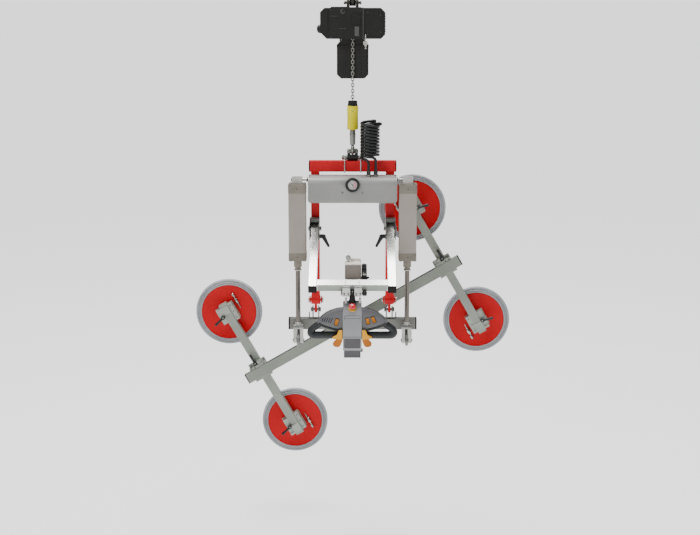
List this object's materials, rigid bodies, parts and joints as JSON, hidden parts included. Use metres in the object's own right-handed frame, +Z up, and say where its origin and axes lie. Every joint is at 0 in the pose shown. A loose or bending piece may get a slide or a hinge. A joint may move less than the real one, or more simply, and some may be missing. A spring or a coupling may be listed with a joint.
{
  "type": "glass panel lifter",
  "caption": "Hanging vacuum lifter for glass: chain hoist, red frame with tilt cylinders, control handle on arms and a turning beam with suction pads.",
  "frame": {"origin": "centre of the crane eye's bore, from which the whole lifter hangs", "axes": "+Z up along the load chain, +X to the operator's right along the top tube, +Y away from the operator, the way the suction pads face"},
  "size_m": [1.4212, 0.694, 2.098],
  "materials": {
    "hoist_black": "satin",
    "container_plastic": "matte",
    "lug_steel": "satin",
    "chain_zinc": "satin",
    "sleeve_yellow": "satin",
    "hook_steel": "satin",
    "block_black": "satin",
    "plate_zinc": "satin",
    "frame_red": "gloss",
    "housing_silver": "satin",
    "pump_dark": "matte",
    "gauge_black": "satin",
    "needle_black": "matte",
    "hose_black": "satin",
    "fitting_nickel": "satin",
    "barrel_aluminium": "satin",
    "head_aluminium": "satin",
    "bracket_dark": "satin",
    "bolt_zinc": "satin",
    "rod_chrome": "polished",
    "arm_silver": "satin",
    "valve_brown": "satin",
    "valve_black": "satin",
    "lever_black": "satin",
    "yoke_dark": "satin",
    "handle_grey": "satin",
    "panel_grey": "satin",
    "grip_rubber": "matte",
    "stop_red": "gloss",
    "switch_amber": "gloss",
    "bar_grey": "satin",
    "hub_grey": "satin",
    "beam_aluminium": "satin",
    "pad_red": "gloss",
    "seal_grey": "matte"
  },
  "bodies": {
    "hoist": {"hoist_housing": "hoist_black", "chain_container": "container_plastic", "suspension_lugs": "lug_steel"},
    "lift": {"load_chain": "chain_zinc", "hook_sleeve": "sleeve_yellow"},
    "hook": {"swivel_hook": "hook_steel", "hang_block": "block_black"},
    "frame": {"hang_plates": "plate_zinc", "red_frame": "frame_red", "housing_cover": "housing_silver", "housing_back": "housing_silver", "vacuum_pump": "pump_dark", "gauge_case": "gauge_black", "spiral_hose": "hose_black", "hose_fittings": "fitting_nickel", "cylinder_barrels": "barrel_aluminium", "cylinder_heads": "head_aluminium", "arm_brackets": "bracket_dark", "pivot_bolts": "bolt_zinc"},
    "needle": {"gauge_needle": "needle_black"},
    "rods": {"piston_rods": "rod_chrome"},
    "handle_arm": {"arm_tubes": "arm_silver", "arm_cross_tube": "arm_silver", "valve_box": "valve_brown", "filter_regulator": "valve_black"},
    "clamp_left": {"clamp_lever_left": "lever_black"},
    "clamp_right": {"clamp_lever_right": "lever_black"},
    "control": {"handle_yoke": "yoke_dark", "handle_spine": "handle_grey", "side_panels": "panel_grey", "handle_grips": "grip_rubber"},
    "estop": {"estop_button": "stop_red"},
    "rocker_l": {"rocker_left": "switch_amber"},
    "rocker_i": {"rocker_inner": "switch_amber"},
    "rocker_o": {"rocker_outer": "switch_amber"},
    "trigger_l": {"trigger_left": "switch_amber"},
    "trigger_r": {"trigger_right": "switch_amber"},
    "tilt": {"tilt_bar": "bar_grey", "swivel_hub": "hub_grey"},
    "rotor": {"main_beam": "beam_aluminium"},
    "cross_left": {"cross_arm_left": "beam_aluminium"},
    "cross_right": {"cross_arm_right": "beam_aluminium"},
    "lock_left": {"arm_lever_left": "lever_black"},
    "lock_right": {"arm_lever_right": "lever_black"},
    "pad_1": {"pad_mount_1": "beam_aluminium", "pad_plate_1": "pad_red", "pad_seal_1": "seal_grey"},
    "pad_lock_1": {"pad_lever_1": "lever_black"},
    "pad_2": {"pad_mount_2": "beam_aluminium", "pad_plate_2": "pad_red", "pad_seal_2": "seal_grey"},
    "pad_lock_2": {"pad_lever_2": "lever_black"},
    "pad_3": {"pad_mount_3": "beam_aluminium", "pad_plate_3": "pad_red", "pad_seal_3": "seal_grey"},
    "pad_lock_3": {"pad_lever_3": "lever_black"},
    "pad_4": {"pad_mount_4": "beam_aluminium", "pad_plate_4": "pad_red", "pad_seal_4": "seal_grey"},
    "pad_lock_4": {"pad_lever_4": "lever_black"}
  },
  "joints": [
    {"name": "lift", "type": "slide", "parent": "hoist", "child": "lift", "axis": [0, 0, 1], "range_m": [-0.04, 0.055]},
    {"name": "hook_swivel", "type": "hinge", "parent": "lift", "child": "hook", "pos_m": [0, 0, -0.58], "axis": [0, 0, 1], "continuous": true},
    {"name": "frame_swing", "type": "hinge", "parent": "hook", "child": "frame", "pos_m": [0, 0, -0.681], "axis": [1, 0, 0], "range_deg": [-15, 15]},
    {"name": "gauge_needle_turn", "type": "hinge", "parent": "frame", "child": "needle", "pos_m": [0, -0.15, -0.78], "axis": [0, 1, 0], "range_deg": [-90, 180]},
    {"name": "cylinder_stroke", "type": "slide", "parent": "frame", "child": "rods", "axis": [0, 0, 1], "range_m": [0, 0.22]},
    {"name": "arm_raise", "type": "hinge", "parent": "frame", "child": "handle_arm", "pos_m": [0, -0.05, -0.978], "axis": [1, 0, 0], "range_deg": [-35, 0]},
    {"name": "clamp_left_turn", "type": "hinge", "parent": "handle_arm", "child": "clamp_left", "pos_m": [0, -0.09503, -1.004], "axis": [1, 0, 0], "range_deg": [-60, 60]},
    {"name": "clamp_right_turn", "type": "hinge", "parent": "handle_arm", "child": "clamp_right", "pos_m": [0, -0.09503, -1.004], "axis": [1, 0, 0], "range_deg": [-60, 60]},
    {"name": "handle_tilt", "type": "hinge", "parent": "handle_arm", "child": "control", "pos_m": [0, -0.38, -1.188], "axis": [1, 0, 0], "range_deg": [-15, 10]},
    {"name": "stop_press", "type": "slide", "parent": "control", "child": "estop", "axis": [0, -0.7071, 0.7071], "range_m": [-0.005, 0], "stiffness_N_per_m": 600, "springref_m": 0.001},
    {"name": "rocker_left_press", "type": "hinge", "parent": "control", "child": "rocker_l", "pos_m": [-0.063, -0.398, -1.302], "axis": [0.9703, 0, -0.2419], "range_deg": [-8, 8], "stiffness_Nm_per_rad": 0.4},
    {"name": "rocker_inner_press", "type": "hinge", "parent": "control", "child": "rocker_i", "pos_m": [0.0625, -0.398, -1.298], "axis": [0.9781, 0, 0.2079], "range_deg": [-8, 8], "stiffness_Nm_per_rad": 0.4},
    {"name": "rocker_outer_press", "type": "hinge", "parent": "control", "child": "rocker_o", "pos_m": [0.086, -0.398, -1.2925], "axis": [0.9063, 0, 0.4226], "range_deg": [-8, 8], "stiffness_Nm_per_rad": 0.4},
    {"name": "trigger_left_pull", "type": "hinge", "parent": "control", "child": "trigger_l", "pos_m": [0, -0.411, -1.366], "axis": [1, 0, 0], "range_deg": [-6, 6], "stiffness_Nm_per_rad": 1},
    {"name": "trigger_right_pull", "type": "hinge", "parent": "control", "child": "trigger_r", "pos_m": [0, -0.411, -1.366], "axis": [1, 0, 0], "range_deg": [-6, 6], "stiffness_Nm_per_rad": 1},
    {"name": "pad_tilt", "type": "hinge", "parent": "frame", "child": "tilt", "pos_m": [0, 0, -1.3416], "axis": [1, 0, 0], "range_deg": [-90, 0]},
    {"name": "beam_turn", "type": "hinge", "parent": "tilt", "child": "rotor", "pos_m": [0, 0.16, -1.43], "axis": [0, 1, 0], "continuous": true},
    {"name": "cross_arm_left_slide", "type": "slide", "parent": "rotor", "child": "cross_left", "axis": [0.866, 0, 0.5], "range_m": [0, 0.15]},
    {"name": "cross_arm_right_slide", "type": "slide", "parent": "rotor", "child": "cross_right", "axis": [0.866, 0, 0.5], "range_m": [-0.15, 0]},
    {"name": "arm_lock_left", "type": "hinge", "parent": "cross_left", "child": "lock_left", "pos_m": [-0.44009, 0.181, -1.63374], "axis": [0, 1, 0], "range_deg": [-90, 0]},
    {"name": "arm_lock_right", "type": "hinge", "parent": "cross_right", "child": "lock_right", "pos_m": [0.39649, 0.181, -1.15074], "axis": [0, 1, 0], "range_deg": [0, 90]},
    {"name": "pad_1_slide", "type": "slide", "parent": "cross_left", "child": "pad_1", "axis": [-0.5, 0, 0.866], "range_m": [-0.12, 0]},
    {"name": "pad_1_lock", "type": "hinge", "parent": "pad_1", "child": "pad_lock_1", "pos_m": [-0.58138, 0.188, -1.42502], "axis": [0, 1, 0], "range_deg": [-60, 60]},
    {"name": "pad_2_slide", "type": "slide", "parent": "cross_left", "child": "pad_2", "axis": [-0.5, 0, 0.866], "range_m": [0, 0.12]},
    {"name": "pad_2_lock", "type": "hinge", "parent": "pad_2", "child": "pad_lock_2", "pos_m": [-0.28638, 0.188, -1.93598], "axis": [0, 1, 0], "range_deg": [-60, 60]},
    {"name": "pad_3_slide", "type": "slide", "parent": "cross_right", "child": "pad_3", "axis": [-0.5, 0, 0.866], "range_m": [-0.12, 0]},
    {"name": "pad_3_lock", "type": "hinge", "parent": "pad_3", "child": "pad_lock_3", "pos_m": [0.28638, 0.188, -0.92402], "axis": [0, 1, 0], "range_deg": [-60, 60]},
    {"name": "pad_4_slide", "type": "slide", "parent": "cross_right", "child": "pad_4", "axis": [-0.5, 0, 0.866], "range_m": [0, 0.12]},
    {"name": "pad_4_lock", "type": "hinge", "parent": "pad_4", "child": "pad_lock_4", "pos_m": [0.58138, 0.188, -1.43498], "axis": [0, 1, 0], "range_deg": [-60, 60]}
  ],
  "couplings": [
    {"joint": "cylinder_stroke", "follows": "pad_tilt", "m_per_rad": -0.14006}
  ]
}
